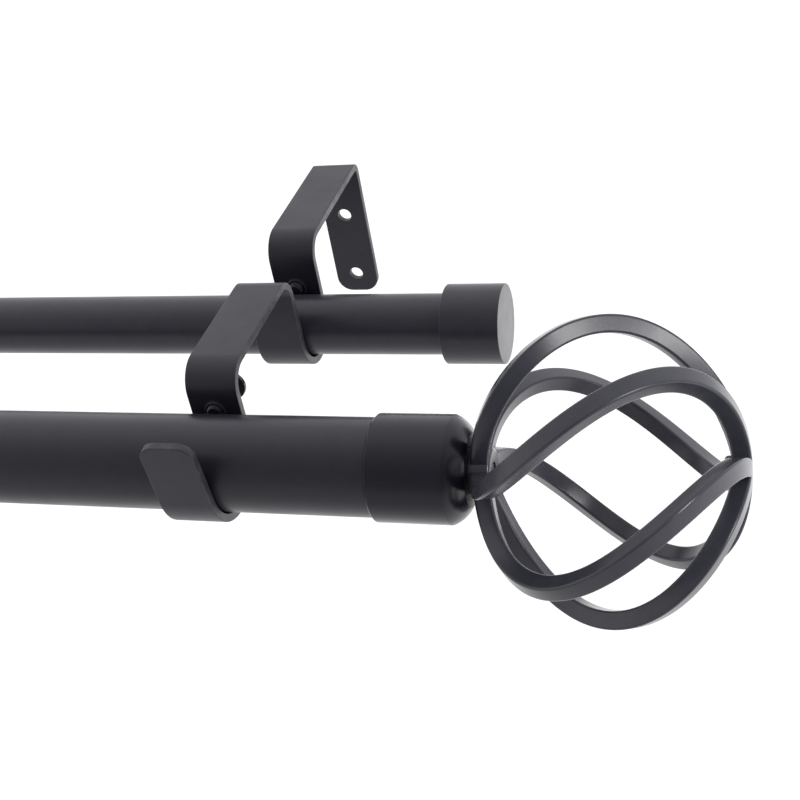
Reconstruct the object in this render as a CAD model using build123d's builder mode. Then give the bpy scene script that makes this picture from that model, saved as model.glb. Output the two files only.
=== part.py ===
"""A double curtain pole on two bent strap brackets, with a twisted-bar cage on each end of the front pole."""
import os
from math import atan2, cos, degrees, pi, radians, sin, sqrt

from build123d import *

os.makedirs("parts", exist_ok=True)

# The origin is the middle of the four wall holes, on the wall.
# X runs along the poles, Y points into the wall and Z points up. All lengths are in millimetres.

# The two tubes
front_diameter = 28.0
rear_diameter = 20.0
tube_wall = 1.0
front_length = 700.0
rear_setback = 4.0
front_reach = 150.0
rear_reach = 70.0
front_height = 11.5

# The bracket strap
bracket_overhang = 72.5
strap_width = 16.0
strap_thickness = 2.5
arm_height = 33.5
lip_rise = 20.0
lip_lean = 7.0
front_clearance = 0.4
rear_clearance = 0.8
sharp_bend = 1.5
middle_bend = 5.0
round_bend = 6.5
hole_spacing = 25.0
hole_diameter = 5.0
plate_tail = 7.5
plate_corner = 5.5
lip_corner = 4.5

# The screw that clamps each tube in its cradle
clamp_thread = 5.0
clamp_head_diameter = 9.5
clamp_head_height = 3.7
clamp_rise = 8.0
front_clamp_length = 14.0
rear_clamp_length = 6.0
boss_diameter = 6.6
boss_height = 0.8
thread_clearance = 0.05
tip_clearance = 0.05
tip_chamfer = 0.6
slot_width = 1.2
slot_length = 5.4
slot_depth = 1.9
rim_share = 0.35

# The collar that slips over the front tube's end
sleeve_clearance = 0.2
collar_wall = 1.0
collar_length = 27.0
collar_bore_depth = 20.5
collar_shoulder = 5.0
shoulder_bulge = 0.5
mouth_chamfer = 0.8
tube_end_gap = 0.5

# The cage: square bars twisted round an egg-shaped hollow
bar_count = 6
bar_size = 5.0
cage_length = 73.5
cage_diameter = 83.0
cage_twist = -112.0
cage_lean = 2.0
cage_lift = 0.1
first_bar = -8.0
bar_lags = (-1.0, -3.0, 0.0, 2.5, 6.0, -4.5)
bar_stations = 13
bar_root = 3.0
hub_diameter = 13.0
hub_depth = 6.0
tip_diameter = 8.5
tip_inset = 1.0

# The screw inside the collar that holds the cage
finial_thread = 5.0
finial_screw_length = 12.0
finial_hole_clearance = 0.25

# The cap on the rear tube's end
cap_diameter = 26.0
cap_length = 19.0
cap_bore_depth = 14.5
cap_clearance = 0.15
cap_edge = 0.3

# The headless screws in collar and cap
grub_diameter = 4.0
grub_length = 3.0
grub_inset = 8.0
key_flats = 2.0
key_depth = 1.6

# Places that follow from the sizes
front_radius = front_diameter / 2
rear_radius = rear_diameter / 2
rear_length = front_length - 2 * rear_setback
bracket_x = front_length / 2 - bracket_overhang
rear_height = front_height - front_radius + rear_radius
front_axis = (-front_reach, front_height)
rear_axis = (-rear_reach, rear_height)
upper_hole = hole_spacing / 2
lower_hole = -hole_spacing / 2
half_strap = strap_thickness / 2
SIDES = (("left", -1), ("right", 1))


def axial_plane(sign, x, y, z):
    """A plane whose X runs outwards along a tube and whose Y points up; the left one is the right one turned."""
    return Plane(origin=(sign * x, y, z), x_dir=(sign, 0, 0), z_dir=(0, -sign, 0))


def tube_back(radius, rise):
    """How far behind its axis a tube's wall lies, at a height above the axis."""
    return sqrt(radius**2 - rise**2)


def pan_screw(tip, direction, up, thread, length, head_diameter, head_height):
    """A pan-head screw with its tip at a point, its head along a direction, and a crossed slot in the head."""
    across = Vector(*direction).cross(Vector(*up))
    side_view = Plane(origin=tip, x_dir=direction, z_dir=across)
    head_top = Plane(origin=Vector(*tip) + Vector(*direction) * (length + head_height), x_dir=up, z_dir=direction)
    shank = thread / 2 - thread_clearance
    rim = length + head_height * rim_share
    dome_height = length + head_height - rim
    dome_radius = ((head_diameter / 2) ** 2 + dome_height**2) / (2 * dome_height)
    dome_centre = length + head_height - dome_radius
    dome_angle = degrees(atan2(head_diameter / 2, rim - dome_centre))
    with BuildPart() as screw:
        with BuildSketch(side_view):
            with BuildLine():
                dome = CenterArc((dome_centre, 0), dome_radius, 0, dome_angle)
                Polyline(dome @ 1, (length, head_diameter / 2), (length, shank), (tip_chamfer, shank),
                         (0, shank - tip_chamfer), (0, 0), dome @ 0)
            make_face()
        revolve(axis=Axis(side_view.origin, side_view.x_dir))
        with BuildSketch(head_top):
            Rectangle(slot_length, slot_width)
            Rectangle(slot_width, slot_length)
        extrude(amount=-slot_depth, mode=Mode.SUBTRACT)
    return screw


def grub_screw(sign, x, y, z, seat_radius):
    """A headless screw that points at a tube's axis from the wall side, with a six-sided key hole."""
    outer_face = Plane(origin=(sign * x, y + seat_radius + tip_clearance + grub_length, z),
                       x_dir=(1, 0, 0), z_dir=(0, 1, 0))
    with BuildPart() as grub:
        with BuildSketch(outer_face):
            Circle(grub_diameter / 2 - thread_clearance)
        extrude(amount=-grub_length)
        chamfer(grub.faces().sort_by(Axis.Y)[0].edges(), tip_chamfer)
        with BuildSketch(outer_face):
            RegularPolygon(key_flats / 2, 6, major_radius=False)
        extrude(amount=-key_depth, mode=Mode.SUBTRACT)
    return grub


# The tubes, each one plain length
for name, diameter, length, (y, z) in (("front_pole", front_diameter, front_length, front_axis),
                                       ("rear_pole", rear_diameter, rear_length, rear_axis)):
    with BuildPart() as tube:
        with BuildSketch(Plane(origin=(0, y, z), x_dir=(0, 1, 0), z_dir=(1, 0, 0))):
            Circle(diameter / 2)
            Circle(diameter / 2 - tube_wall, mode=Mode.SUBTRACT)
        extrude(amount=length / 2, both=True)
    tube.part.label = name
    export_step(tube.part, f"parts/{name}.step")

# The brackets: one steel strap each, bent six times on its way from the wall to the front lip
wall_line = -half_strap
rear_cradle = rear_radius + rear_clearance + half_strap
front_cradle = front_radius + front_clearance + half_strap
arm_line = arm_height - half_strap
sharp = sharp_bend + half_strap
eased = middle_bend + half_strap
rounded = round_bend + half_strap
lip_tilt = radians(lip_lean)
lip_length = (lip_rise + front_cradle * sin(lip_tilt)) / cos(lip_tilt)
through_lip = Axis((0, 0, 0), (0, cos(lip_tilt), sin(lip_tilt)))

for side, sign in SIDES:
    strap_plane = Plane(origin=(sign * bracket_x, 0, 0), x_dir=(0, 1, 0), z_dir=(1, 0, 0))
    with BuildPart() as strap:
        with BuildSketch(strap_plane):
            with BuildLine():
                plate = Line((wall_line, lower_hole - plate_tail), (wall_line, arm_line - sharp))
                wall_bend = JernArc(plate @ 1, (0, 1), sharp, 90)
                rear_arm = Line(wall_bend @ 1, (-rear_reach + rear_cradle + rounded, arm_line))
                rear_bend = JernArc(rear_arm @ 1, (-1, 0), rounded, 90)
                rear_leg = Line(rear_bend @ 1, (-rear_reach + rear_cradle, rear_height))
                rear_hook = JernArc(rear_leg @ 1, (0, -1), rear_cradle, -180)
                middle_leg = Line(rear_hook @ 1, (-rear_reach - rear_cradle, arm_line - eased))
                arm_bend = JernArc(middle_leg @ 1, (0, 1), eased, 90)
                front_arm = Line(arm_bend @ 1, (-front_reach + front_cradle + rounded, arm_line))
                front_bend = JernArc(front_arm @ 1, (-1, 0), rounded, 90)
                front_leg = Line(front_bend @ 1, (-front_reach + front_cradle, front_height))
                front_hook = JernArc(front_leg @ 1, (0, -1), front_cradle, lip_lean - 180)
                PolarLine(front_hook @ 1, lip_length, direction=front_hook % 1)
            trace(line_width=strap_thickness)
        extrude(amount=strap_width / 2, both=True)
        fillet(strap.edges().filter_by(through_lip).sort_by(Axis.Y)[:2], lip_corner)
        fillet(strap.edges().filter_by(Axis.Y).sort_by(Axis.Y)[-2:], plate_corner)
        for height in (upper_hole, lower_hole):
            with Locations(Plane((sign * bracket_x, -strap_thickness, height), z_dir=(0, -1, 0))):
                Hole(hole_diameter / 2, depth=strap_thickness)
        for reach, bore, height in ((rear_reach, rear_radius + rear_clearance, rear_height),
                                    (front_reach, front_radius + front_clearance, front_height)):
            leg_face = -reach + bore
            with BuildSketch(Plane((sign * bracket_x, leg_face, height + clamp_rise), z_dir=(0, -1, 0))):
                Circle(boss_diameter / 2)
            extrude(amount=boss_height)
            with Locations(Plane((sign * bracket_x, leg_face - boss_height, height + clamp_rise),
                                 z_dir=(0, -1, 0))):
                Hole(clamp_thread / 2, depth=strap_thickness + boss_height)
    strap.part.label = f"{side}_bracket"
    export_step(strap.part, f"parts/{side}_bracket.step")

    # The clamp screws, each with its tip just off the tube
    for place, reach, radius, height, length in (
            ("front", front_reach, front_radius, front_height, front_clamp_length),
            ("rear", rear_reach, rear_radius, rear_height, rear_clamp_length)):
        lowest_of_tip = clamp_rise - clamp_thread / 2 + thread_clearance + tip_chamfer
        tip_y = -reach + tube_back(radius, lowest_of_tip) + tip_clearance
        clamp = pan_screw((sign * bracket_x, tip_y, height + clamp_rise), (0, 1, 0), (0, 0, 1),
                          clamp_thread, length, clamp_head_diameter, clamp_head_height)
        clamp.part.label = f"{side}_{place}_clamp_screw"
        export_step(clamp.part, f"parts/{side}_{place}_clamp_screw.step")

# The finials: a collar over the tube's end, a screw through the collar's floor, and the cage
collar_radius = front_radius + sleeve_clearance + collar_wall
collar_mouth = front_length / 2 + tube_end_gap - collar_bore_depth
collar_end = collar_mouth + collar_length
half_length = (cage_length - bar_size) / 2
half_width = (cage_diameter - bar_size) / 2
root_share = bar_root / half_width / pi


def leaning(sign, along, outward, upward):
    """A direction given along the pole, outward and upward, turned by the cage's lean about its seat."""
    return Vector(sign * along, sign * outward, upward).rotate(Axis.Z, cage_lean)


def bar_section(sign, place, share):
    """The plane across a bar at a share of its way round, from the collar (0) to the tip (1).

    The centre line lies on an oval of revolution: it moves along the axis as one minus the cosine of
    a half turn and out from it as the sine, while it turns evenly about the axis. The bar's flat
    stays square to the oval, and the whole oval leans a little on its seat.
    """
    swing = pi * share
    turn = radians(place + cage_twist * share)
    along = leaning(sign, 1, 0, 0)
    radial = leaning(sign, 0, cos(turn), sin(turn))
    around = leaning(sign, 0, -sin(turn), cos(turn))
    middle = (Vector(sign * collar_end, *front_axis)
              + along * (cage_lift + bar_size / 2 + half_length * (1 - cos(swing)))
              + radial * (half_width * sin(swing)))
    heading = (along * (half_length * pi * sin(swing)) + radial * (half_width * pi * cos(swing))
               + around * (half_width * sin(swing) * radians(cage_twist)))
    outward = along * (-cos(swing) / half_length) + radial * (sin(swing) / half_width)
    return Plane(origin=middle, x_dir=heading.cross(outward), z_dir=heading)


for side, sign in SIDES:
    mouth = axial_plane(sign, collar_mouth, *front_axis)
    seat = axial_plane(sign, collar_end, *front_axis)
    turning = Axis(mouth.origin, mouth.x_dir)
    bore_radius = front_radius + sleeve_clearance
    shoulder_start = collar_length - collar_shoulder
    end_radius = collar_radius - collar_shoulder
    with BuildPart() as collar:
        with BuildSketch(mouth):
            with BuildLine():
                Polyline((collar_length, end_radius), (collar_length, 0), (collar_bore_depth, 0),
                         (collar_bore_depth, bore_radius), (0, bore_radius),
                         (0, collar_radius - mouth_chamfer), (mouth_chamfer, collar_radius),
                         (shoulder_start, collar_radius))
                ThreePointArc((shoulder_start, collar_radius),
                              (shoulder_start + collar_shoulder / 2 + shoulder_bulge,
                               collar_radius - collar_shoulder / 2 + shoulder_bulge),
                              (collar_length, end_radius))
            make_face()
        revolve(axis=turning)
        with BuildSketch(Plane(origin=seat.origin, z_dir=(sign, 0, 0))):
            Circle(finial_thread / 2 + finial_hole_clearance)
        extrude(amount=collar_bore_depth - collar_length, mode=Mode.SUBTRACT)
        grub_centre = (sign * (collar_mouth + grub_inset), front_axis[0], front_axis[1])
        with BuildSketch(Plane(origin=grub_centre, z_dir=(0, 1, 0))):
            Circle(grub_diameter / 2)
        extrude(amount=collar_radius, mode=Mode.SUBTRACT)
    collar.part.label = f"{side}_finial_collar"
    export_step(collar.part, f"parts/{side}_finial_collar.step")

    with BuildPart() as cage:
        for bar in range(bar_count):
            bar_place = first_bar + bar * 360 / bar_count + bar_lags[bar % len(bar_lags)]
            for station in range(bar_stations):
                share = root_share + (1 - 2 * root_share) * station / (bar_stations - 1)
                with BuildSketch(bar_section(sign, bar_place, share)):
                    Rectangle(bar_size, bar_size)
            loft()
        with BuildSketch(Plane(origin=seat.origin, z_dir=(sign, 0, 0))):
            Circle(hub_diameter / 2)
        extrude(amount=hub_depth)
        with BuildSketch(Plane(origin=seat.origin, z_dir=leaning(sign, 1, 0, 0)).offset(cage_length - tip_inset)):
            Circle(tip_diameter / 2)
        extrude(amount=-hub_depth)
        with Locations(Plane(origin=seat.origin, z_dir=(-sign, 0, 0))):
            Hole(finial_thread / 2, depth=hub_depth)
    cage.part.label = f"{side}_finial_cage"
    export_step(cage.part, f"parts/{side}_finial_cage.step")

    screw_tip = (sign * (collar_mouth + collar_bore_depth + finial_screw_length), *front_axis)
    holder = pan_screw(screw_tip, (-sign, 0, 0), (0, 0, 1), finial_thread, finial_screw_length,
                       clamp_head_diameter, clamp_head_height)
    holder.part.label = f"{side}_finial_screw"
    export_step(holder.part, f"parts/{side}_finial_screw.step")

    collar_grub = grub_screw(sign, collar_mouth + grub_inset, *front_axis, front_radius)
    collar_grub.part.label = f"{side}_collar_grub"
    export_step(collar_grub.part, f"parts/{side}_collar_grub.step")

# The rear tube's end caps
cap_mouth = rear_length / 2 + tube_end_gap - cap_bore_depth
for side, sign in SIDES:
    rim = axial_plane(sign, cap_mouth, *rear_axis)
    cap_bore = rear_radius + cap_clearance
    with BuildPart() as cap:
        with BuildSketch(rim):
            with BuildLine():
                Polyline((0, cap_bore), (0, cap_diameter / 2), (cap_length, cap_diameter / 2),
                         (cap_length, 0), (cap_bore_depth, 0), (cap_bore_depth, cap_bore), close=True)
            make_face()
        revolve(axis=Axis(rim.origin, rim.x_dir))
        chamfer(cap.edges().filter_by(GeomType.CIRCLE).group_by(SortBy.RADIUS)[-1], cap_edge)
        grub_centre = (sign * (cap_mouth + grub_inset), rear_axis[0], rear_axis[1])
        with BuildSketch(Plane(origin=grub_centre, z_dir=(0, 1, 0))):
            Circle(grub_diameter / 2)
        extrude(amount=cap_diameter, mode=Mode.SUBTRACT)
    cap.part.label = f"{side}_rear_cap"
    export_step(cap.part, f"parts/{side}_rear_cap.step")

    cap_grub = grub_screw(sign, cap_mouth + grub_inset, *rear_axis, rear_radius)
    cap_grub.part.label = f"{side}_cap_grub"
    export_step(cap_grub.part, f"parts/{side}_cap_grub.step")
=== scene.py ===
# %% [markdown]
# # A double curtain pole, drawn from its CAD frame
# Two round tubes lie in two bent strap brackets. The front tube ends in a collar and a cage of six
# twisted bars, the rear tube in a plain cap. Everything is steel with a dark coating.
# The CAD frame gives the nodes. Each one is drawn again here with the small shapes that light picks
# out: broken edges, screw threads, crossed slots and the rounded corners of square bar.

# %%
import bmesh
import bpy
import numpy as np
from math import atan2, cos, pi, radians, sin, sqrt
from mathutils import Matrix, Vector


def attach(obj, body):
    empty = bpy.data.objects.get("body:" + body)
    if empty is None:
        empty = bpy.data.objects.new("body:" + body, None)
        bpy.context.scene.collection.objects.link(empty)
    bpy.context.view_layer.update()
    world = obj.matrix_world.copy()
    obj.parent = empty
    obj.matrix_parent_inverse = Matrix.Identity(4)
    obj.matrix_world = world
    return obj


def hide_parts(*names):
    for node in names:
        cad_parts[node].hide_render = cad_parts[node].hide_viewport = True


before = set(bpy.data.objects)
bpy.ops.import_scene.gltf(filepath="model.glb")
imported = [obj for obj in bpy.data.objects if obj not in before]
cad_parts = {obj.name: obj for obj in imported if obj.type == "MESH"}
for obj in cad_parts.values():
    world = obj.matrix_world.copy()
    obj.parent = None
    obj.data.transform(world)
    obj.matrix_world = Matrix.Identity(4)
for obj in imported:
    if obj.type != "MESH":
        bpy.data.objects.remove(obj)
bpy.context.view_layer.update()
print("nodes:", len(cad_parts))

# %% [markdown]
# ## The camera
# A camera fitted to the photograph looks down at the right-hand end, from the front and a little past
# that end. Yaw turns it about the vertical, pitch tips it down and roll turns the picture, in that order.

# %%
CAMERA_PLACE = Vector((0.443228, -0.426026, 0.234865))
CAMERA_TURN = {"yaw": 20.475, "pitch": 34.191, "roll": -11.057}
FOCAL_PIXELS = 1341.605
PICTURE_PIXELS = 800


def camera_frame(yaw, pitch, roll):
    """Right, up and forward of a camera.

    Forward is (-sin yaw cos pitch, cos yaw cos pitch, -sin pitch). Right starts level and up is square to
    both; the roll then turns right and up about forward.
    """
    forward = Vector((-sin(yaw) * cos(pitch), cos(yaw) * cos(pitch), -sin(pitch)))
    level = Vector((cos(yaw), sin(yaw), 0))
    upright = level.cross(forward)
    return cos(roll) * level + sin(roll) * upright, cos(roll) * upright - sin(roll) * level, forward


right, up, forward = camera_frame(*(radians(angle) for angle in CAMERA_TURN.values()))
camera = bpy.data.cameras.new("camera")
camera.sensor_width = 36
camera.lens = FOCAL_PIXELS / PICTURE_PIXELS * camera.sensor_width
camera.clip_start = 0.01
camera_object = bpy.data.objects.new("camera", camera)
camera_turn = Matrix((right, up, -forward)).transposed()
camera_object.matrix_world = Matrix.Translation(CAMERA_PLACE) @ camera_turn.to_4x4()
bpy.context.scene.collection.objects.link(camera_object)
bpy.context.scene.camera = camera_object
print("lens:", round(camera.lens, 2), "mm")

# %% [markdown]
# ## Sheets of points
# Every piece is made of sheets: grids of points whose neighbours are joined by four-sided faces.
# A sheet is computed whole, as one array, and its sides may meet other sheets point for point. Joining
# the points that coincide then closes the piece. Sizes are in millimetres until the mesh is made.

# %%
MILLIMETRE = 0.001
WELD = 2e-6


def sheet(points, closed=False, finish=0):
    """Points in rows and columns, and the faces between them.

    Point (r, c) has number r * columns + c. A closed sheet joins its last column to its first.
    """
    rows, columns = points.shape[:2]
    row = np.arange(rows - 1)[:, None] * columns
    here = np.arange(columns if closed else columns - 1)[None, :]
    then = (here + 1) % columns
    faces = np.stack([row + here, row + then, row + columns + then, row + columns + here], -1).reshape(-1, 4)
    return points.reshape(-1, 3), faces, finish


def area_normals(mesh):
    """One normal for each vertex: the sum of its faces' normals, each times its area.

    Large flat faces then stay flat up to their rims, and the shading turns within the narrow ones.
    """
    corners = np.zeros(len(mesh.loops), int)
    mesh.loops.foreach_get("vertex_index", corners)
    sizes = np.zeros(len(mesh.polygons), int)
    mesh.polygons.foreach_get("loop_total", sizes)
    areas = np.zeros(len(mesh.polygons))
    mesh.polygons.foreach_get("area", areas)
    facing = np.zeros(len(mesh.polygons) * 3)
    mesh.polygons.foreach_get("normal", facing)
    pull = np.repeat(facing.reshape(-1, 3) * areas[:, None], sizes, axis=0)
    total = np.zeros((len(mesh.vertices), 3))
    np.add.at(total, corners, pull)
    return total / np.maximum(np.linalg.norm(total, axis=1), 1e-20)[:, None]


def build(name, sheets, finishes, own=None):
    """One closed piece from its sheets, in place of the CAD node of the same name.

    Its points may carry their own coordinates, which a finish reads as the attribute "strap".
    """
    point_sets, face_sets, numbers = zip(*sheets)
    starts = np.cumsum([0] + [len(points) for points in point_sets])
    faces = np.concatenate([own_faces + start for own_faces, start in zip(face_sets, starts)])
    mesh = bpy.data.meshes.new(name)
    mesh.from_pydata(np.concatenate(point_sets) * MILLIMETRE, [], faces)
    finish_of_face = np.repeat(numbers, [len(own_faces) for own_faces in face_sets])
    mesh.polygons.foreach_set("material_index", finish_of_face)
    if own is not None:
        mesh.attributes.new("strap", "FLOAT_VECTOR", "POINT").data.foreach_set("vector", own.ravel())
    cells = bmesh.new()
    cells.from_mesh(mesh)
    bmesh.ops.remove_doubles(cells, verts=cells.verts, dist=WELD)
    bmesh.ops.recalc_face_normals(cells, faces=cells.faces)
    cells.to_mesh(mesh)
    cells.free()
    mesh.shade_smooth()
    mesh.normals_split_custom_set_from_vertices(area_normals(mesh))
    for finish in finishes:
        mesh.materials.append(finish)
    piece = bpy.data.objects.new(name + "_drawn", mesh)
    bpy.context.scene.collection.objects.link(piece)
    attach(piece, "root")
    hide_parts(name)
    print(f"{name}: {len(mesh.polygons)} faces")


# %% [markdown]
# ## Turned shapes
# A turned shape is an outline of (along, out) points carried round an axis. A real edge is never
# quite sharp, so the outline's corners are eased before it is turned.
# An end's own frame has *along* pointing out of the pole's end, *back* to one side and *rise* up. The
# left end is the right end turned half a turn about the vertical, so both keep the same hand.

# %%
SIDES = {"left": -1, "right": 1}
TURNS = 128


def eased(outline, radius, steps=4):
    """A closed outline with its corners rounded.

    A corner of half angle h is left and met again at radius / tan h from its point, and a curve with
    the weights (1-t)^2, 2t(1-t) and t^2 joins the two.
    """
    corner = np.array(outline, float)
    before = np.roll(corner, 1, 0) - corner
    after = np.roll(corner, -1, 0) - corner
    before /= np.linalg.norm(before, axis=1)[:, None]
    after /= np.linalg.norm(after, axis=1)[:, None]
    half = np.arccos(np.clip((before * after).sum(1), -1, 1)) / 2
    reach = (np.broadcast_to(radius, len(corner)) / np.tan(half))[:, None]
    t = np.linspace(0, 1, steps)[None, :, None]
    start = (corner + before * reach)[:, None]
    stop = (corner + after * reach)[:, None]
    return ((1 - t) ** 2 * start + 2 * t * (1 - t) * corner[:, None] + t**2 * stop).reshape(-1, 2)


def placed(points, sign, origin):
    """Points of an end's own frame (along, back, rise) as places in the row's frame."""
    return np.asarray(origin) + points * np.array([sign, sign, 1])


def full_turn(count):
    """Evenly spaced angles round an axis."""
    return np.arange(count) * 2 * pi / count


def turned(along, out, angles=None):
    """Rows of rings: a point at an angle a lies at (along, out cos a, out sin a)."""
    if angles is None:
        angles = full_turn(TURNS)
    along, out = np.broadcast_arrays(np.atleast_2d(along), np.atleast_2d(out))
    along, out, angles = np.broadcast_arrays(along, out, angles)
    return np.stack([along, out * np.cos(angles), out * np.sin(angles)], -1)


def shaped(rows, angles):
    """Rings that needn't be round, from pairs (along, out) with one number or one for each angle."""
    along, out = (np.stack([np.broadcast_to(part, angles.shape) for part in parts]) for parts in zip(*rows))
    return turned(along, out, angles)


def shut(outline):
    """The rings of a closed outline, whose first point is repeated at the end."""
    loop = np.concatenate([outline, outline[:1]])
    return turned(loop[:, :1], loop[:, 1:])


def lathe(outline, sign, origin):
    """A closed outline turned into a closed sheet."""
    return sheet(placed(shut(outline), sign, origin), closed=True)


# %% [markdown]
# ## The finishes
# All the steel is coated, and the coat is what shows. It is almost black with a trace of blue, and most
# of its light is reflected from the white room round it. A powder coat dries with a fine orange-peel
# relief, which spreads those reflections; paint on the cage and enamel on the collar lie smoother.
# Two node groups hold what the finishes share: the relief, and the faint unevenness of the sheen.

# %%
def node(tree, kind, inputs=(), **settings):
    """A shader node with its settings, and its inputs given as numbers or joined to other sockets."""
    made = tree.nodes.new(kind)
    for name, value in settings.items():
        setattr(made, name, value)
    for name, value in dict(inputs).items():
        if isinstance(value, bpy.types.NodeSocket):
            tree.links.new(value, made.inputs[name])
        else:
            made.inputs[name].default_value = value
    return made


def group(name, inputs, outputs):
    """An empty node group with its sockets, and the nodes that stand for its inside ends."""
    tree = bpy.data.node_groups.new(name, "ShaderNodeTree")
    for direction, sockets in (("INPUT", inputs), ("OUTPUT", outputs)):
        for label, kind in sockets.items():
            tree.interface.new_socket(label, in_out=direction, socket_type=kind)
    return tree, tree.nodes.new("NodeGroupInput"), tree.nodes.new("NodeGroupOutput")


relief, ins, outs = group("relief", {"Place": "NodeSocketVector", "Peel size": "NodeSocketFloat",
                                     "Depth": "NodeSocketFloat"}, {"Normal": "NodeSocketVector"})
peel = node(relief, "ShaderNodeTexNoise", {"Vector": ins.outputs["Place"], "Scale": ins.outputs["Peel size"],
                                           "Detail": 2.0, "Roughness": 0.45})
swell = node(relief, "ShaderNodeBump", {"Height": peel.outputs["Fac"], "Strength": 1.0,
                                        "Distance": ins.outputs["Depth"]})
relief.links.new(swell.outputs["Normal"], outs.inputs["Normal"])

sheen, ins, outs = group("uneven_sheen", {"Place": "NodeSocketVector", "Low": "NodeSocketFloat",
                                          "High": "NodeSocketFloat"}, {"Roughness": "NodeSocketFloat"})
clouds = node(sheen, "ShaderNodeTexNoise", {"Vector": ins.outputs["Place"], "Scale": 70.0, "Detail": 4.0,
                                            "Roughness": 0.6})
spread = node(sheen, "ShaderNodeMapRange", {"Value": clouds.outputs["Fac"], "From Min": 0.3, "From Max": 0.7,
                                            "To Min": ins.outputs["Low"], "To Max": ins.outputs["High"]})
sheen.links.new(spread.outputs["Result"], outs.inputs["Roughness"])
print("groups:", [tree.name for tree in bpy.data.node_groups])

# %% [markdown]
# A finish is one material: a colour that varies a little with the coat's thickness, a roughness from
# the sheen group and a normal from the relief group. Every place is read from object coordinates,
# which are the row's own metres, so a pattern has the same scale on every piece.

# %%
THICK_BELOW, THIN_ABOVE = 0.35, 0.68


def coat(name, thin, thick, low, high, peel_size, depth):
    """A dark coat between two colours, with its roughness range and the size and depth of its peel."""
    material = bpy.data.materials.new(name)
    material.use_nodes = True
    tree = material.node_tree
    shader = tree.nodes["Principled BSDF"]
    place = node(tree, "ShaderNodeTexCoord").outputs["Object"]
    patches = node(tree, "ShaderNodeTexNoise", {"Vector": place, "Scale": 260.0, "Detail": 5.0,
                                                "Roughness": 0.65})
    blend = node(tree, "ShaderNodeValToRGB", {"Fac": patches.outputs["Fac"]})
    for stop, position, colour in zip(blend.color_ramp.elements, (THICK_BELOW, THIN_ABOVE), (thick, thin)):
        stop.position = position
        stop.color = (*colour, 1)
    tree.links.new(blend.outputs["Color"], shader.inputs["Base Color"])
    gloss = node(tree, "ShaderNodeGroup", {"Place": place, "Low": low, "High": high}, node_tree=sheen)
    surface = node(tree, "ShaderNodeGroup", {"Place": place, "Peel size": peel_size, "Depth": depth},
                   node_tree=relief)
    tree.links.new(gloss.outputs["Roughness"], shader.inputs["Roughness"])
    tree.links.new(surface.outputs["Normal"], shader.inputs["Normal"])
    return material


POWDER = coat("powder_coat", thin=(0.0150, 0.0150, 0.0235), thick=(0.0120, 0.0120, 0.0195),
              low=0.31, high=0.39, peel_size=900.0, depth=0.000010)
SATIN = coat("satin_coat", thin=(0.0300, 0.0300, 0.0410), thick=(0.0250, 0.0250, 0.0355),
             low=0.31, high=0.39, peel_size=900.0, depth=0.000010)
STRAP_COAT = coat("strap_coat", thin=(0.0205, 0.0205, 0.0300), thick=(0.0165, 0.0165, 0.0255),
                  low=0.37, high=0.46, peel_size=800.0, depth=0.000012)
PAINT = coat("cage_coat", thin=(0.0360, 0.0360, 0.0475), thick=(0.0300, 0.0300, 0.0405),
             low=0.21, high=0.29, peel_size=700.0, depth=0.000006)
ENAMEL = coat("collar_enamel", thin=(0.0064, 0.0066, 0.0138), thick=(0.0052, 0.0054, 0.0118),
              low=0.23, high=0.29, peel_size=600.0, depth=0.000004)
ENAMEL.node_tree.nodes["Principled BSDF"].inputs["Specular IOR Level"].default_value = 0.43
SCREW = coat("screw_black", thin=(0.0145, 0.0145, 0.0185), thick=(0.0095, 0.0095, 0.0130),
             low=0.22, high=0.36, peel_size=1500.0, depth=0.000006)
print("coats:", [material.name for material in bpy.data.materials])

# %% [markdown]
# The strap is sheared from sheet, so its narrow sides are torn rather than rolled. The coat lies
# thinner there over fine marks that run through the thickness. The strap carries its own coordinates
# in an attribute, (length along, place across, depth through), so the marks can follow every bend.

# %%
MARKS_PER_METRE = (3600.0, 260.0, 260.0)
MARK_DEPTH = 0.00006
SHEARED = coat("strap_coat_edges", thin=(0.0540, 0.0540, 0.0630), thick=(0.0205, 0.0205, 0.0270),
               low=0.40, high=0.60, peel_size=800.0, depth=0.000012)
tree = SHEARED.node_tree
normal = tree.nodes["Principled BSDF"].inputs["Normal"]
strap = node(tree, "ShaderNodeAttribute", attribute_name="strap")
stretch = node(tree, "ShaderNodeVectorMath", {0: strap.outputs["Vector"], 1: MARKS_PER_METRE},
               operation="MULTIPLY")
marks = node(tree, "ShaderNodeTexNoise", {"Vector": stretch.outputs["Vector"], "Scale": 1.0, "Detail": 3.0,
                                          "Roughness": 0.6})
groove = node(tree, "ShaderNodeBump", {"Height": marks.outputs["Fac"], "Strength": 1.0,
                                       "Distance": MARK_DEPTH, "Normal": normal.links[0].from_socket})
tree.links.new(groove.outputs["Normal"], normal)
print("marks follow the attribute", strap.attribute_name)

# %% [markdown]
# ## The tubes
# A tube is its wall's outline turned round the pole's axis. Both ends of the wall are sawn and
# deburred, so they get a small radius.

# %%
FRONT = {"radius": 14.0, "reach": 150.0, "height": 11.5, "length": 700.0}
REAR = {"radius": 10.0, "reach": 70.0, "height": 7.5, "length": 692.0}
TUBE_WALL = 1.0
DEBURRED = 0.15

for name, tube, finish in (("front_pole", FRONT, POWDER), ("rear_pole", REAR, SATIN)):
    inner, half = tube["radius"] - TUBE_WALL, tube["length"] / 2
    wall = eased([(-half, inner), (-half, tube["radius"]), (half, tube["radius"]), (half, inner)], DEBURRED)
    build(name, [lathe(wall, 1, (0, -tube["reach"], tube["height"]))], [finish])

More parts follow.
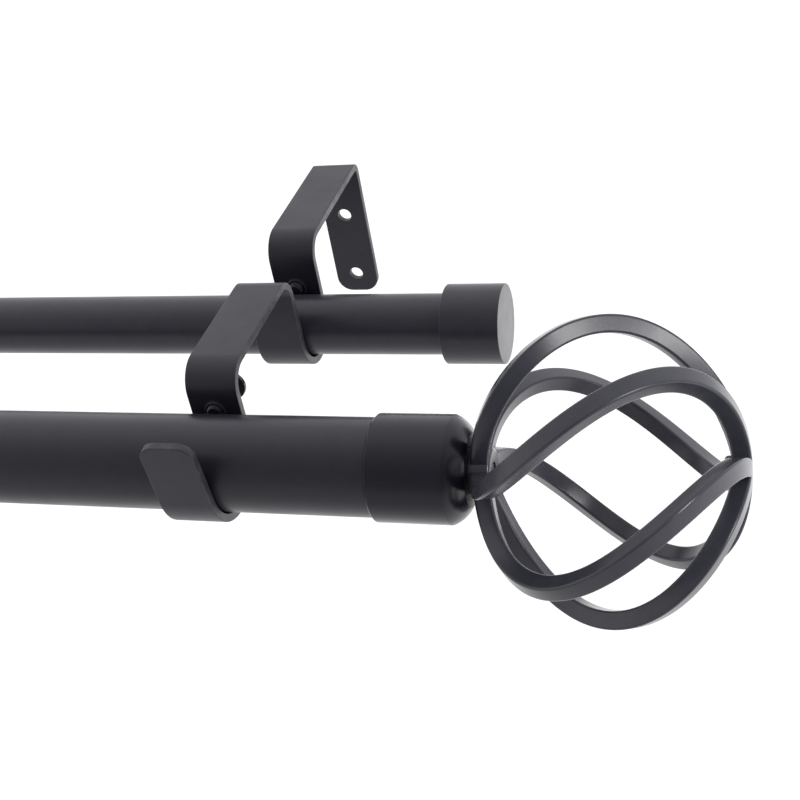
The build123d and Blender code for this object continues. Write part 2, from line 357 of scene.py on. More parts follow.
# %% [markdown]
# ## Screws
# A screw is two closed sheets of rings, its head and its shank, and the rings needn't be round. The
# head's slot is a cross of two bars. Along each ray from the axis the cross ends where the ray leaves
# the bar that it stays in longest, and the rings change from that outline to the round rim.

# %%
CLAMP = {"thread": 5.0, "head": 9.5, "head_height": 3.7, "rim_share": 0.35,
         "slot_width": 1.2, "slot_length": 5.4, "slot_depth": 1.9}
CLEARANCE = 0.05
TIP_CHAMFER = 0.6
SLOT_EASE = 0.12
HEAD_EASE = 0.25


def cross_rays(width, length):
    """Angles round a crossed slot and how far the slot reaches along each.

    A ray at angle a leaves a bar of half length l and half width w at the smaller of l / |cos a| and
    w / |sin a|; the cross reaches as far as the further of its two bars.
    """
    corner = atan2(width, length)
    eighth = np.concatenate([np.linspace(0, corner, 4)[:-1], np.linspace(corner, pi / 4, 7)])
    quarter = np.concatenate([eighth, pi / 2 - eighth[-2::-1]])[:-1]
    angles = (quarter + np.arange(4)[:, None] * pi / 2).ravel()
    c = np.maximum(np.abs(np.cos(angles)), 1e-9)
    s = np.maximum(np.abs(np.sin(angles)), 1e-9)
    lying = np.minimum(length / 2 / c, width / 2 / s)
    standing = np.minimum(length / 2 / s, width / 2 / c)
    return angles, np.maximum(lying, standing)


def screw_head(start):
    """Rings of a pan head with a crossed slot, from the slot's floor over the dome and under to the axis.

    The dome is part of a ball. The bare numbers place the rings on the slot's floor and the eased rims.
    """
    radius, height = CLAMP["head"] / 2, CLAMP["head_height"]
    top, rim = start + height, start + height * CLAMP["rim_share"]
    ball = (radius**2 + (top - rim) ** 2) / (2 * (top - rim))
    angles, slot = cross_rays(CLAMP["slot_width"], CLAMP["slot_length"])
    floor = top - CLAMP["slot_depth"]

    def dome(out):
        return top - ball + np.sqrt(ball**2 - out**2)

    lip = slot + SLOT_EASE
    inside = radius - HEAD_EASE
    share = np.linspace(0, 1, 9)[1:-1, None]
    rows = [(floor, 0.0), (floor, 0.55 * slot), (floor, 0.86 * slot), (floor + 0.35, 0.94 * slot),
            (dome(slot) - SLOT_EASE, slot), (dome(lip), lip)]
    rows += [(dome(out), out) for out in lip + (inside - lip) * share]
    rows += [(dome(inside), inside), (rim - 0.02, radius - 0.02), (rim - 0.3, radius),
             (start + HEAD_EASE, radius), (start + 0.06, radius - 0.08), (start, radius - 0.3), (start, 0.0)]
    return shaped(rows, angles)


# %% [markdown]
# The thread is a ridge whose height at a place s along the axis and an angle a is a saw-tooth of
# s / pitch - a / one turn.

# %%
PITCH = 0.8
THREAD_DEPTH = 0.33
ROWS_PER_PITCH = 9
SHANK_TURNS = 40


def screw_shank(length):
    """Rings of a threaded shank with a tapered tip, closed on the axis at both ends.

    The saw-tooth is cut off above and below, which leaves a flat crest and a flat root. The shank runs
    0.3 mm into the head.
    """
    angles = full_turn(SHANK_TURNS)
    crest = CLAMP["thread"] / 2 - CLEARANCE
    place = np.arange(0, length + 0.3, PITCH / ROWS_PER_PITCH)[:, None]
    ridge = 1 - np.abs((place / PITCH - angles / (2 * pi)) % 1 - 0.5) * 2
    out = crest - THREAD_DEPTH * np.clip(1.25 - 1.5 * ridge, 0, 1)
    out = np.minimum(out, crest - TIP_CHAMFER + place)
    ends = np.zeros((1, SHANK_TURNS))
    return turned(np.concatenate([place[:1], place, place[-1:]]), np.concatenate([ends, out, ends]), angles)


def screw(name, tip, heading, rise, length):
    """A pan-head screw from its tip, along a heading, with one bar of its cross along rise."""
    heading, rise = np.array(heading, float), np.array(rise, float)
    axes = np.stack([heading, rise, np.cross(heading, rise)])
    head = sheet(np.asarray(tip) + screw_head(length) @ axes, closed=True)
    shank = sheet(np.asarray(tip) + screw_shank(length) @ axes, closed=True)
    build(name, [head, shank], [SCREW])


# %% [markdown]
# A clamp screw runs from the wall's side through the strap's leg and stops just short of the tube.
# Its tip meets the tube below the screw's own axis, so the tube's wall there lies sqrt(r^2 - h^2)
# behind the tube's axis, with h the height of the tip's lowest point.

# %%
BRACKET_X = 277.5
CLAMP_RISE = 8.0
CLAMP_LENGTHS = {"front": 14.0, "rear": 6.0}
tip_height = CLAMP_RISE - CLAMP["thread"] / 2 + CLEARANCE + TIP_CHAMFER

for side, sign in SIDES.items():
    for place, tube in (("front", FRONT), ("rear", REAR)):
        tip_y = -tube["reach"] + sqrt(tube["radius"] ** 2 - tip_height**2) + CLEARANCE
        screw(f"{side}_{place}_clamp_screw", (sign * BRACKET_X, tip_y, tube["height"] + CLAMP_RISE),
              (0, 1, 0), (0, 0, 1), CLAMP_LENGTHS[place])

# %% [markdown]
# ## Collars, caps and their headless screws
# A collar and a cap are sleeves with a floor. Near the mouth each has a small hole towards the wall
# for a headless screw. The sleeve's grid leaves out a square of cells there, and a sheet of rings
# fills it: from the square's rim to the hole's rim on the outside, down the hole's wall, and out to the
# same square in the bore. On a cylinder of radius R, a point that stands b to the side of the hole's
# axis is turned by arcsin(b / R).

# %%
GRUB_INSET = 8.0
GRUB_HOLE = 2.0
CELLS = 5
CELL_LENGTH = 0.64
HOLE_EASE = 0.12


def bored(outer, inner, turn):
    """The patch of a sleeve with a hole through it, and the two bands of wall beside the patch."""
    step = 2 * pi / TURNS
    run = np.arange(-CELLS, CELLS)
    flat = np.full(2 * CELLS, CELLS)
    edges = (run, -flat), (flat, run), (-run, flat), (-flat, -run)
    rim = np.concatenate([np.stack(edge, 1) for edge in edges])
    phi = np.arctan2(rim[:, 1], rim[:, 0])

    def circle(radius, depth):
        angle = np.arcsin(radius * np.sin(phi) / depth)
        return GRUB_INSET + radius * np.cos(phi), np.full(len(phi), depth), angle

    def square(depth):
        return GRUB_INSET + rim[:, 0] * CELL_LENGTH, np.full(len(phi), depth), rim[:, 1] * step

    def between(first, last, shares):
        return [tuple(a + (b - a) * share for a, b in zip(first, last)) for share in shares]

    wide = GRUB_HOLE + HOLE_EASE
    rows = between(square(outer), circle(wide, outer), (0, 0.4, 0.75, 1))
    rows += [circle(GRUB_HOLE, outer - HOLE_EASE), circle(GRUB_HOLE, inner + HOLE_EASE)]
    rows += between(circle(wide, inner), square(inner), (0, 0.25, 0.6, 1))
    along, out, angle = (np.stack(part) for part in zip(*rows))
    patch = turned(along, out, angle + turn)
    stations = GRUB_INSET + np.arange(-CELLS, CELLS + 1)[:, None] * CELL_LENGTH
    rest = turn + np.arange(CELLS, TURNS - CELLS + 1) * step
    return patch, [turned(stations, radius, rest) for radius in (outer, inner)]


def sleeve(name, far, near, outer, inner, sign, origin, finish, slot):
    """A sleeve from its two part outlines, one each side of the screw hole, with the hole between."""
    patch, bands = bored(outer, inner, 0 if sign > 0 else pi)
    rings = [turned(part[:, :1], part[:, 1:]) for part in (far, near)] + [patch]
    sheets = [sheet(placed(part, sign, origin), closed=True) for part in rings]
    sheets += [sheet(placed(band, sign, origin)) for band in bands]
    build(name, sheets, [finish])


# %% [markdown]
# A headless screw has a six-sided key hole in its outer end. With h half the hole's width across flats,
# the hole reaches h / cos b along a ray whose angle from the middle of the nearest flat is b.

# %%
GRUB = {"radius": 1.95, "length": 3.0, "ease": 0.15, "key": 2.0, "key_depth": 1.6, "key_ease": 0.1}


def headless_screw(name, sign, place, tube):
    """A headless screw that points at a tube from the wall's side."""
    angles = full_turn(48)
    key = GRUB["key"] / 2 / np.cos((angles + pi / 6) % (pi / 3) - pi / 6)
    radius, length, ease = GRUB["radius"], GRUB["length"], GRUB["ease"]
    floor = length - GRUB["key_depth"]
    rows = [(0, 0.0), (0, radius - TIP_CHAMFER), (TIP_CHAMFER, radius), (length - ease, radius),
            (length, radius - ease), (length, key + GRUB["key_ease"]), (length - GRUB["key_ease"], key),
            (floor, key), (floor, 0.0)]
    origin = np.array([sign * place, -tube["reach"] + tube["radius"] + CLEARANCE, tube["height"]])
    to_wall = np.array([[0, 1, 0], [0, 0, 1], [1, 0, 0]])
    build(name, [sheet(origin + shaped(rows, angles) @ to_wall, closed=True)], [SCREW])


# %% [markdown]
# The collar's outside ends in a rounded shoulder. It is the arc through three points, whose centre
# is where the perpendicular bisectors of two chords meet.

# %%
COLLAR = {"mouth": 330.0, "length": 27.0, "outer": 15.2, "bore": 14.2, "bore_depth": 20.5,
          "shoulder": 5.0, "bulge": 0.5, "mouth_chamfer": 0.8, "screw_hole": 2.75}
CAP = {"mouth": 332.0, "length": 19.0, "outer": 13.0, "bore": 10.15, "bore_depth": 14.5}
PATCH_NEAR = GRUB_INSET - CELLS * CELL_LENGTH
PATCH_FAR = GRUB_INSET + CELLS * CELL_LENGTH
SHOULDER_STEPS = 12


def arc_through(first, middle, last, steps):
    """Points along the arc from first to last by way of middle."""
    a, b, c = (complex(*point) for point in (first, middle, last))
    w = (c - a) / (b - a)
    centre = a + (b - a) * (w - abs(w) ** 2) / (w - w.conjugate())
    turn = np.angle((c - centre) / (a - centre))
    points = centre + (a - centre) * np.exp(1j * turn * np.linspace(0, 1, steps))
    return np.stack([points.real, points.imag], 1)


def collar_outlines():
    """The collar's outline beyond the screw hole and before it."""
    outer, bore, length, floor = (COLLAR[name] for name in ("outer", "bore", "length", "bore_depth"))
    depth, bulge = COLLAR["shoulder"], COLLAR["bulge"]
    hole, chamfer = COLLAR["screw_hole"], COLLAR["mouth_chamfer"]
    start = length - depth
    middle = (start + depth / 2 + bulge, outer - depth / 2 + bulge)
    shoulder = arc_through((start, outer), middle, (length, outer - depth), SHOULDER_STEPS)
    far = np.concatenate([[(PATCH_FAR, outer)], shoulder,
                          [(length, hole), (floor, hole), (floor, bore), (PATCH_FAR, bore)]])
    near = [(PATCH_NEAR, bore), (0, bore), (0, outer - chamfer), (chamfer, outer), (PATCH_NEAR, outer)]
    eases = np.zeros(len(far))
    eases[1], eases[SHOULDER_STEPS], eases[-4:-1] = 0.5, 0.25, 0.15
    return eased(far, eases), eased(near, (0, 0.05, 0.12, 0.2, 0))


def cap_outlines():
    """The cap's outline beyond the screw hole and before it."""
    outer, bore, length, floor = (CAP[name] for name in ("outer", "bore", "length", "bore_depth"))
    far = [(PATCH_FAR, outer), (length, outer), (length, 0), (floor, 0), (floor, bore), (PATCH_FAR, bore)]
    near = [(PATCH_NEAR, bore), (0, bore), (0, outer), (PATCH_NEAR, outer)]
    return eased(far, (0, 0.35, 0, 0, 0.1, 0)), eased(near, (0, 0.12, 0.3, 0))


for side, sign in SIDES.items():
    sleeve(f"{side}_finial_collar", *collar_outlines(), COLLAR["outer"], COLLAR["bore"], sign,
           (sign * COLLAR["mouth"], -FRONT["reach"], FRONT["height"]), ENAMEL, "collar_enamel")
    sleeve(f"{side}_rear_cap", *cap_outlines(), CAP["outer"], CAP["bore"], sign,
           (sign * CAP["mouth"], -REAR["reach"], REAR["height"]), SATIN, "powder_coat")
    headless_screw(f"{side}_collar_grub", sign, COLLAR["mouth"] + GRUB_INSET, FRONT)
    headless_screw(f"{side}_cap_grub", sign, CAP["mouth"] + GRUB_INSET, REAR)
    screw(f"{side}_finial_screw", (sign * (COLLAR["mouth"] + COLLAR["bore_depth"] + 12.0), -FRONT["reach"],
                                   FRONT["height"]), (-sign, 0, 0), (0, 0, 1), 12.0)

# %% [markdown]
# ## The cage
# Six square bars run over an oval of revolution from the collar to the tip while they turn about its
# axis. At a share t of the way, with swing q = pi t, a bar's middle is 1 - cos q times half the oval's
# length along the axis and sin q times half its width out from it, turned by the twist times t. The
# oval's outward direction there has the parts -cos q / half length and sin q / half width, and the
# bar's flat stays square to it. The bars came out of the bending a few degrees uneven, and the whole
# cage leans slightly on its screw.

# %%
CAGE = {"bars": 6, "size": 5.0, "length": 73.5, "width": 83.0, "twist": -112.0, "lean": 2.0,
        "lift": 0.1, "root": 3.0, "lags": (-9.0, -11.0, -8.0, -5.5, -2.0, -12.5)}
CORNER_RADIUS = 0.75
STATIONS = 121
ENDS = ((-0.45, 0.0), (-0.45, 0.86), (-0.3, 0.95), (-0.1, 0.99))


def lean(points):
    """Points of a finial's own frame turned about the upright through its seat by the cage's lean."""
    c, s = cos(radians(CAGE["lean"])), sin(radians(CAGE["lean"]))
    return points @ np.array([[c, s, 0], [-s, c, 0], [0, 0, 1]])


def bar(place):
    """The rings of points along one bar, closed at both ends, in the finial's own frame.

    An end closes over the rings of ENDS, pairs of a shift along the bar and a scale of its section.
    """
    half_length, half_width = (CAGE["length"] - CAGE["size"]) / 2, (CAGE["width"] - CAGE["size"]) / 2
    root = CAGE["root"] / half_width / pi
    t = np.linspace(root, 1 - root, STATIONS)
    swing, turn = pi * t, np.radians(place + CAGE["twist"] * t)
    radial = np.stack([0 * t, np.cos(turn), np.sin(turn)], 1)
    around = np.stack([0 * t, -np.sin(turn), np.cos(turn)], 1)
    axis = np.array([1.0, 0, 0])
    middle = (CAGE["lift"] + CAGE["size"] / 2 + half_length * (1 - np.cos(swing)))[:, None] * axis
    middle = middle + (half_width * np.sin(swing))[:, None] * radial
    heading = ((half_length * pi * np.sin(swing))[:, None] * axis
               + (half_width * pi * np.cos(swing))[:, None] * radial
               + (half_width * np.sin(swing) * radians(CAGE["twist"]))[:, None] * around)
    outward = (-np.cos(swing) / half_length)[:, None] * axis + (np.sin(swing) / half_width)[:, None] * radial
    heading /= np.linalg.norm(heading, axis=1)[:, None]
    outward /= np.linalg.norm(outward, axis=1)[:, None]
    aside = np.cross(heading, outward)
    half = CAGE["size"] / 2
    section = eased([(-half, -half), (half, -half), (half, half), (-half, half)], CORNER_RADIUS, 5)

    def rings(at, scale, shift):
        centre = middle[at] + heading[at] * shift
        cut = section * scale
        return centre[:, None] + aside[at][:, None] * cut[:, :1] + outward[at][:, None] * cut[:, 1:]

    first = [rings([0], scale, shift) for shift, scale in ENDS]
    last = [rings([-1], scale, -shift) for shift, scale in ENDS[::-1]]
    return np.concatenate([*first, rings(np.arange(STATIONS), 1.0, 0.0), *last])


# %% [markdown]
# The bars meet in a short round hub on the collar and round a smaller one at the tip. The hub on the
# collar is tapped for the finial's screw.

# %%
HUB = {"radius": 6.5, "depth": 6.0, "thread": 2.5, "tip_radius": 4.25, "tip_inset": 1.0}
hub_depth, tip_end = HUB["depth"], CAGE["length"] - HUB["tip_inset"]
hub = eased([(0, HUB["thread"]), (0, HUB["radius"]), (hub_depth, HUB["radius"]), (hub_depth, HUB["thread"])],
            (0.2, 0.2, 1.4, 0.3), 6)
tip = eased([(tip_end - hub_depth, 0), (tip_end - hub_depth, HUB["tip_radius"]), (tip_end, HUB["tip_radius"]),
             (tip_end, 0)], (0, 1.0, 1.0, 0), 6)

for side, sign in SIDES.items():
    seat = (sign * (COLLAR["mouth"] + COLLAR["length"]), -FRONT["reach"], FRONT["height"])
    bars = [sheet(placed(lean(bar(lag + 360 / CAGE["bars"] * number)), sign, seat), closed=True)
            for number, lag in enumerate(CAGE["lags"])]
    knot = sheet(placed(lean(shut(tip)), sign, seat), closed=True)
    build(f"{side}_finial_cage", [*bars, lathe(hub, sign, seat), knot], [PAINT])

# %% [markdown]
# ## The bracket
# A bracket is one flat strap, cut and drilled first and bent afterwards, and it is drawn in that order.
# The blank's own coordinates are s along it, w across it and d through it. Its line in the bent state
# is a row of straight runs and arcs. Each run begins where the last one stopped, with the heading h it
# had there. On an arc of curvature k the heading grows by k per millimetre, and a place at the arc
# length u on it lies at (sin(h + k u) - sin h) / k and (cos h - cos(h + k u)) / k from its start.

# %%
STRAP = {"width": 16.0, "thickness": 2.5, "arm_height": 33.5, "lip_rise": 20.0, "lip_lean": 7.0, "tail": 7.5,
         "hole_spacing": 25.0, "hole": 2.5, "tail_corner": 5.5, "lip_corner": 4.5, "edge": 0.28}
BENDS = {"sharp": 1.5, "middle": 5.0, "round": 6.5}
CRADLE_CLEARANCE = {"front": 0.4, "rear": 0.8}
BOSS = {"radius": 3.3, "height": 0.8}
HALF_WIDTH, HALF_THICK = STRAP["width"] / 2, STRAP["thickness"] / 2

wall_line, arm_line = -HALF_THICK, STRAP["arm_height"] - HALF_THICK
sharp, middle, rounded = (radius + HALF_THICK for radius in BENDS.values())
front_cradle = FRONT["radius"] + CRADLE_CLEARANCE["front"] + HALF_THICK
rear_cradle = REAR["radius"] + CRADLE_CLEARANCE["rear"] + HALF_THICK
lean_angle = radians(STRAP["lip_lean"])
foot = -STRAP["hole_spacing"] / 2 - STRAP["tail"]
runs = [
    (arm_line - sharp - foot, 0), (sharp, 90),
    (wall_line - sharp + REAR["reach"] - rear_cradle - rounded, 0), (rounded, 90),
    (arm_line - rounded - REAR["height"], 0), (rear_cradle, -180),
    (arm_line - middle - REAR["height"], 0), (middle, 90),
    (FRONT["reach"] - front_cradle - rounded - REAR["reach"] - rear_cradle - middle, 0), (rounded, 90),
    (arm_line - rounded - FRONT["height"], 0), (front_cradle, STRAP["lip_lean"] - 180),
    ((STRAP["lip_rise"] + front_cradle * sin(lean_angle)) / cos(lean_angle), 0)]
lengths = np.array([size if turn == 0 else size * radians(abs(turn)) for size, turn in runs])
curves = np.array([radians(turn) / length for (size, turn), length in zip(runs, lengths)])
starts = np.concatenate([[0], np.cumsum(lengths)])
headings = pi / 2 + np.concatenate([[0], np.cumsum(curves * lengths)])
print("the blank is", round(starts[-1], 1), "mm long")


def steps_along(heading, curve, u):
    """How far a run goes towards the room's back (y) and up (z) over its first u millimetres."""
    k = np.where(curve == 0, 1, curve)
    y = np.where(curve == 0, u * np.cos(heading), (np.sin(heading + k * u) - np.sin(heading)) / k)
    z = np.where(curve == 0, u * np.sin(heading), (np.cos(heading) - np.cos(heading + k * u)) / k)
    return np.stack([y, z], -1)


corners = np.concatenate([[[wall_line, foot]], steps_along(headings[:-1], curves, lengths)]).cumsum(0)


def bent(blank):
    """The places of a blank's points (s, w, d) once the strap is bent, for a strap centred on x = 0.

    A point d off the middle line goes d along its left-hand normal, (-sin h, cos h).
    """
    s, w, d = np.moveaxis(blank, -1, 0)
    run = np.clip(np.searchsorted(starts, s, side="right") - 1, 0, len(runs) - 1)
    u = s - starts[run]
    heading = headings[run] + curves[run] * u
    line = corners[run] + steps_along(headings[run], curves[run], u)
    return np.stack([w, line[..., 0] - d * np.sin(heading), line[..., 1] + d * np.cos(heading)], -1)


print("the lip ends at", corners[-1].round(2))

# %% [markdown]
# The blank is cut into four blocks, one round each hole, and the four plain lengths that follow them.
# Every cut across the strap has the same places across it, so the parts meet point for point. A broken
# edge is a quarter circle of radius e: at an angle a it is e (1 - sin a) inside the outline and
# e (1 - cos a) below the face. Each outline point therefore carries the direction that points out of
# the outline, and a face, a rim and a side are the same outline at other insets and depths.

# %%
EDGE = STRAP["edge"]
COLUMNS = 25
ACROSS = np.linspace(-1, 1, COLUMNS)
BEND_STEP = 4
FEWEST_STEPS = 4
SAME_PLACE = 1e-6
quarter = np.linspace(0, pi / 2, 4)
RIM = np.concatenate([
    np.stack([EDGE * (1 - np.sin(quarter)), HALF_THICK - EDGE * (1 - np.cos(quarter))], 1),
    np.stack([EDGE * (1 - np.sin(quarter)), EDGE * (1 - np.cos(quarter)) - HALF_THICK], 1)[::-1]])


def layer(outline, away, inset, depth):
    """Outline points moved in by an inset and given a depth."""
    moved = outline - away * inset
    return np.concatenate([moved, np.broadcast_to(depth, moved.shape[:-1])[..., None]], -1)


def rim_of(outline, away):
    """The broken edges and the side along an outline, from one face to the other."""
    return np.stack([layer(outline, away, inset, depth) for inset, depth in RIM], 1)


def plain(low, high):
    """The sheets of a plain length of strap, faces first and the two sides after.

    There is a row for every BEND_STEP degrees of a bend. The length that ends in the lip has rounded
    corners there, where the strap's half width shrinks along a quarter circle.
    """
    bend_steps = [np.linspace(a, b, 1 + max(FEWEST_STEPS, int(abs(np.degrees(curve * length)) / BEND_STEP)))
                  for a, b, curve, length in zip(starts, starts[1:], curves, lengths)]
    rows = np.unique(np.concatenate([[low, high], *bend_steps]).round(6))
    rows = rows[(rows >= round(low, 6)) & (rows <= round(high, 6))]
    along, half, out = rows, np.full(len(rows), HALF_WIDTH), np.stack([0 * rows, 0 * rows + 1], 1)
    ends = high > starts[-1] - SAME_PLACE
    if ends:
        corner = STRAP["lip_corner"]
        a = np.linspace(0, pi / 2, 9)
        keep = rows < high - corner - SAME_PLACE
        along = np.concatenate([rows[keep], high - corner + corner * np.sin(a)])
        half = np.concatenate([half[keep], HALF_WIDTH - corner + corner * np.cos(a)])
        out = np.concatenate([out[keep], np.stack([np.sin(a), np.cos(a)], 1)])
    shape = len(along), COLUMNS
    grid = np.stack([np.broadcast_to(along[:, None], shape), half[:, None] * ACROSS], -1)
    away = np.stack([np.broadcast_to(out[:, :1], shape), out[:, 1:] * ACROSS], -1)
    faces = [layer(grid, away, EDGE, depth) for depth in (HALF_THICK, -HALF_THICK)]
    sides = [rim_of(grid[:, column], away[:, column]) for column in (0, -1)]
    if ends:
        sides.append(rim_of(grid[-1], away[-1]))
    return faces, sides


# %% [markdown]
# A block's outline is a rectangle, or at the strap's foot a rectangle with two rounded corners.

# %%
BLOCK = 5.0
ACROSS_CUT = np.stack([np.full(COLUMNS, BLOCK), HALF_WIDTH * ACROSS], 1)
CUT_AWAY = np.stack([np.zeros(COLUMNS), ACROSS], 1)


def side_of(low, high, count):
    """The outline along the side at w = +half width, from high to low, and its outward directions."""
    s = np.linspace(high, low, count)
    return np.stack([s, np.full(count, HALF_WIDTH)], 1), np.broadcast_to([0.0, 1.0], (count, 2))


def block_outline(foot_end):
    """Outline, outward directions and free stretches of a block, counter-clockwise from (+, -)."""
    mirror = np.array([1, -1])
    if foot_end:
        reach, corner = STRAP["tail"], STRAP["tail_corner"]
        side, side_away = side_of(corner - reach, BLOCK, 11)
        a = np.linspace(pi / 2, pi, 10)
        turn_away = np.stack([np.cos(a), np.sin(a)], 1)
        turn = np.array([corner - reach, HALF_WIDTH - corner]) + corner * turn_away
        half = np.concatenate([side[:-1], turn]), np.concatenate([side_away[:-1], turn_away])
        across = np.linspace(turn[-1, 1], -turn[-1, 1], 7)
        end = np.stack([np.full(len(across), -reach), across], 1)
        end_away = np.broadcast_to([-1.0, 0.0], end.shape)
        outline = np.concatenate([half[0][:-1], end, (half[0] * mirror)[::-1][1:]])
        away = np.concatenate([half[1][:-1], end_away, (half[1] * mirror)[::-1][1:]])
        free = [(outline, away)]
        outline = np.concatenate([ACROSS_CUT[:-1], outline[:-1]])
        away = np.concatenate([CUT_AWAY[:-1], away[:-1]])
        return outline, away, free
    side, side_away = side_of(-BLOCK, BLOCK, 13)
    free = [(side, side_away), (-side, -side_away)]
    outline = np.concatenate([ACROSS_CUT[:-1], side[:-1], -ACROSS_CUT[:-1], -side[:-1]])
    away = np.concatenate([CUT_AWAY[:-1], side_away[:-1], -CUT_AWAY[:-1], -side_away[:-1]])
    return outline, away, free


# %% [markdown]
# A block's faces are rings that grow from the hole's rim to that outline: ring points and outline points
# pair up along rays from the hole's middle. A clamp hole is drawn up into a low boss on the tube's side.

# %%
RIM_EASE = 0.2
BOSS_EASE = 0.25


def block(centre, foot_end=False, boss=False):
    """The sheets of a block with its hole: two faces, the hole's wall and the free sides.

    The bare millimetres place the rings on the eased rims of the hole and the boss.
    """
    outline, away, free = block_outline(foot_end)
    ray = outline / np.linalg.norm(outline, axis=1)[:, None]
    offset = np.array([centre, 0.0])

    def ring(radius, depth):
        return layer(offset + ray * radius, 0 * ray, 0, depth)

    def face(depth, rings):
        rim = layer(offset + outline, away, EDGE, depth)
        last = rings[-1]
        return np.stack([*rings, *(last + (rim - last) * share for share in (0.25, 0.55, 0.8, 1.0))])

    near = STRAP["hole"] + RIM_EASE
    top, low = HALF_THICK, -HALF_THICK
    if boss:
        high, wide = low - BOSS["height"], BOSS["radius"]
        back_rings = [ring(near, high), ring(wide - BOSS_EASE, high), ring(wide - 0.07, high + 0.07),
                      ring(wide, high + BOSS_EASE), ring(wide, low - 0.15), ring(wide + 0.06, low - 0.04),
                      ring(wide + BOSS_EASE, low)]
    else:
        high, back_rings = low, [ring(near, low)]
    wall = np.stack([ring(near, top), ring(near - 0.14, top - 0.06), ring(STRAP["hole"], top - RIM_EASE),
                     ring(STRAP["hole"], high + RIM_EASE), ring(near - 0.14, high + 0.06), ring(near, high)])
    sides = [rim_of(part + offset, part_away) for part, part_away in free]
    return [face(top, [ring(near, top)]), face(low, back_rings)], [wall], sides


# %% [markdown]
# The parts are laid out along the blank, bent, and joined into one piece for each bracket. The
# sheared sides and the holes' walls take the edge finish.

# %%
REAR_LEG, FRONT_LEG = 4, 10
rear_clamp, front_clamp = (starts[leg] + arm_line - rounded - tube["height"] - CLAMP_RISE
                           for leg, tube in ((REAR_LEG, REAR), (FRONT_LEG, FRONT)))
hole_places = [STRAP["tail"], STRAP["tail"] + STRAP["hole_spacing"], rear_clamp, front_clamp]
cuts = [place + shift for place in hole_places for shift in (-BLOCK, BLOCK)][1:] + [starts[-1]]

open_sheets, ring_sheets, side_sheets = [], [], []
for low, high in zip(cuts[::2], cuts[1::2]):
    faces, sides = plain(low, high)
    open_sheets += faces
    side_sheets += sides
for number, place in enumerate(hole_places):
    faces, walls, sides = block(place, foot_end=number == 0, boss=number > 1)
    ring_sheets += [(face, 0) for face in faces] + [(wall, 1) for wall in walls]
    side_sheets += sides

laid = [(blank, False, 0) for blank in open_sheets] + [(blank, False, 1) for blank in side_sheets]
laid += [(blank, True, finish) for blank, finish in ring_sheets]
own = np.concatenate([blank.reshape(-1, 3) for blank, closed, finish in laid]) * MILLIMETRE
for side, sign in SIDES.items():
    shift = np.array([sign * BRACKET_X, 0, 0])
    sheets = [sheet(bent(blank) + shift, closed, finish) for blank, closed, finish in laid]
    build(f"{side}_bracket", sheets, [STRAP_COAT, SHEARED], own)

# %% [markdown]
# ## Light, floor and background
# The room is a white tent with the camera looking in from a darker side. Seen from the pole, the
# brightness of a direction rises with its angle from that side: it goes with one minus the cosine up to
# a right angle, and is the same beyond. The background that the camera sees is plain white.

# %%
def toward(azimuth, height):
    """The unit vector at an azimuth and a height above the level, both in degrees."""
    azimuth, height = radians(azimuth), radians(height)
    return Vector((cos(azimuth) * cos(height), sin(azimuth) * cos(height), sin(height)))


def brightness(tree, kind, direction, start, stop, weakest, strongest, seen):
    """A strength that runs from weakest to strongest along a direction, and another that the camera sees."""
    place = node(tree, "ShaderNodeTexCoord").outputs[kind]
    ahead = node(tree, "ShaderNodeVectorMath", {0: place, 1: direction}, operation="DOT_PRODUCT")
    ramp = node(tree, "ShaderNodeMapRange", {"Value": ahead.outputs["Value"], "From Min": start,
                                             "From Max": stop, "To Min": weakest, "To Max": strongest})
    camera_ray = node(tree, "ShaderNodeLightPath").outputs["Is Camera Ray"]
    level = node(tree, "ShaderNodeMix", {"Factor": camera_ray, "A": ramp.outputs["Result"], "B": seen},
                 data_type="FLOAT")
    return level.outputs["Result"]


ROOM_TINT = (0.99, 0.99, 1.02, 1)
ROOM_LIGHT = {"direction": toward(-75, 20), "start": 1.0, "stop": 0.0, "weakest": 0.20, "strongest": 1.15,
              "seen": 1.1}
world = bpy.data.worlds.new("tent")
world.use_nodes = True
background = world.node_tree.nodes["Background"]
background.inputs["Color"].default_value = ROOM_TINT
strength = brightness(world.node_tree, "Generated", **ROOM_LIGHT)
world.node_tree.links.new(strength, background.inputs["Strength"])
bpy.context.scene.world = world
bpy.context.scene.view_settings.view_transform = "Standard"
print("the room's light:", ROOM_LIGHT["weakest"], "to", ROOM_LIGHT["strongest"])

# %% [markdown]
# Glossy bars need something narrow and bright to mirror. A tall, slim soft box stands in front of the
# right-hand end, hidden from the camera. A photographer would hold a card up to keep it off the tubes
# and brackets, where it would leave pale patches. Light linking does the same: the lamp lights only
# the pieces in its collection, which are the two cages.

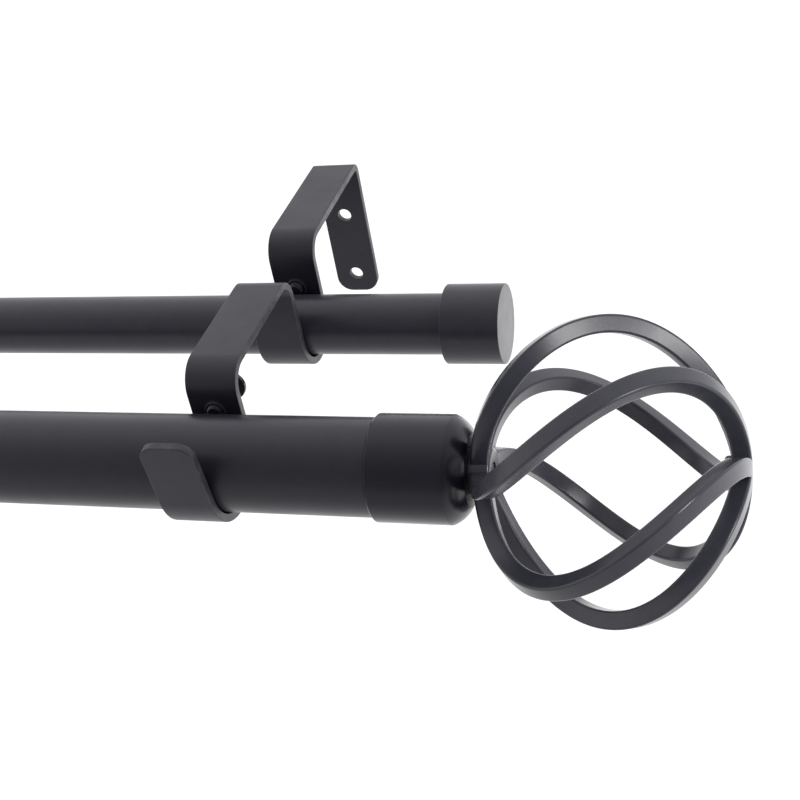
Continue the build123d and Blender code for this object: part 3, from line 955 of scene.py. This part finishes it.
# %%
SOFT_BOX = {"azimuth": -27.0, "height": 30.0, "distance": 0.55, "width": 0.12, "tall": 0.36, "radiance": 12.0}
POLE_END = Vector((0.38, -0.13, 0.01))
toward_light = toward(SOFT_BOX["azimuth"], SOFT_BOX["height"])
lamp = bpy.data.lights.new("soft_box", "AREA")
lamp.shape = "RECTANGLE"
lamp.size, lamp.size_y = SOFT_BOX["width"], SOFT_BOX["tall"]
lamp.energy = SOFT_BOX["radiance"] * pi * SOFT_BOX["width"] * SOFT_BOX["tall"]
lamp_object = bpy.data.objects.new("soft_box", lamp)
lamp_object.location = POLE_END + toward_light * SOFT_BOX["distance"]
lamp_object.rotation_euler = toward_light.to_track_quat("Z", "Y").to_euler()
lamp_object.visible_camera = False
bpy.context.scene.collection.objects.link(lamp_object)
lit_cages = bpy.data.collections.new("lit_cages")
for side in SIDES:
    lit_cages.objects.link(bpy.data.objects[f"{side}_finial_cage_drawn"])
lamp_object.light_linking.receiver_collection = lit_cages

# %% [markdown]
# The pole hangs well above a pale floor, which keeps its shadow. The floor glows, more strongly towards
# the back right: this is painted light, which the floor emits itself in place of a lamp's light falling
# on it, so that the undersides mirror it as they would mirror a pale table under the same tent.

# %%
FLOOR = {"depth": -2.8, "half": 14.0, "colour": (0.62, 0.62, 0.62, 1), "roughness": 0.9}
# Painted light: the floor's own emission, weakest to strongest towards the back right; camera rays see one
# even level.
FLOOR_PAINTED_GLOW = {"direction": (0.6, 0.8, 0.0), "start": -2.8, "stop": 4.2, "weakest": 0.15, "strongest": 1.25,
              "seen": 0.6}
half, depth = FLOOR["half"], FLOOR["depth"]
floor_mesh = bpy.data.meshes.new("floor")
floor_corners = [(x * half, y * half, depth) for x, y in ((-1, -1), (1, -1), (1, 1), (-1, 1))]
floor_mesh.from_pydata(floor_corners, [], [(0, 1, 2, 3)])
floor = bpy.data.objects.new("floor", floor_mesh)
bpy.context.scene.collection.objects.link(floor)
pale = bpy.data.materials.new("pale_floor")
pale.use_nodes = True
shader = pale.node_tree.nodes["Principled BSDF"]
shader.inputs["Base Color"].default_value = FLOOR["colour"]
shader.inputs["Roughness"].default_value = FLOOR["roughness"]
shader.inputs["Emission Color"].default_value = (1, 1, 1, 1)
# Painted light on the floor: an emission that grows towards the back right, in place of a lamp.
painted_glow = brightness(pale.node_tree, "Object", **FLOOR_PAINTED_GLOW)
pale.node_tree.links.new(painted_glow, shader.inputs["Emission Strength"])
floor_mesh.materials.append(pale)
print("the floor's glow:", FLOOR_PAINTED_GLOW["weakest"], "to", FLOOR_PAINTED_GLOW["strongest"])
